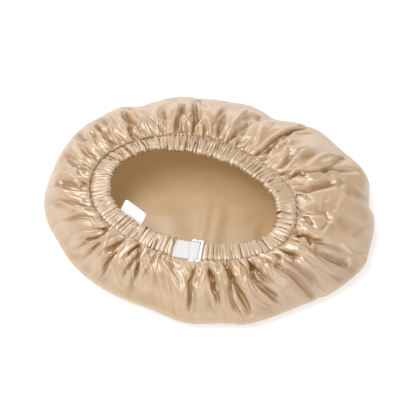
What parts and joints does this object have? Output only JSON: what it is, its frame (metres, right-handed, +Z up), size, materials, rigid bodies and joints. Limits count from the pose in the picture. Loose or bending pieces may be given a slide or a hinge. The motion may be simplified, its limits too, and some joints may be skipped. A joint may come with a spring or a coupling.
{
  "type": "sleep bonnet",
  "caption": "Round satin sleep bonnet gathered onto an elastic headband with a slide adjuster, lying on its crown with the opening up; worn over the hair in bed.",
  "frame": {"origin": "on the surface the bonnet lies on, under the middle of its outline", "axes": "+Z up out of the head opening; +X along the longer way across, to the right when the adjuster faces the viewer; -Y towards the adjuster"},
  "size_m": [0.362, 0.3094, 0.0643],
  "materials": {
    "champagne_satin": "smooth glossy satin weave, champagne",
    "white_elastic": "flat woven elastic, white, matt",
    "white_plastic": "moulded white plastic, soft gloss",
    "white_ribbon": "smooth white ribbon, blank"
  },
  "bodies": {
    "root": {"satin_crown": "champagne_satin", "gathered_casing": "champagne_satin", "elastic_strap": "white_elastic", "slider_buckle": "white_plastic", "side_label": "white_ribbon"}
  },
  "joints": []
}
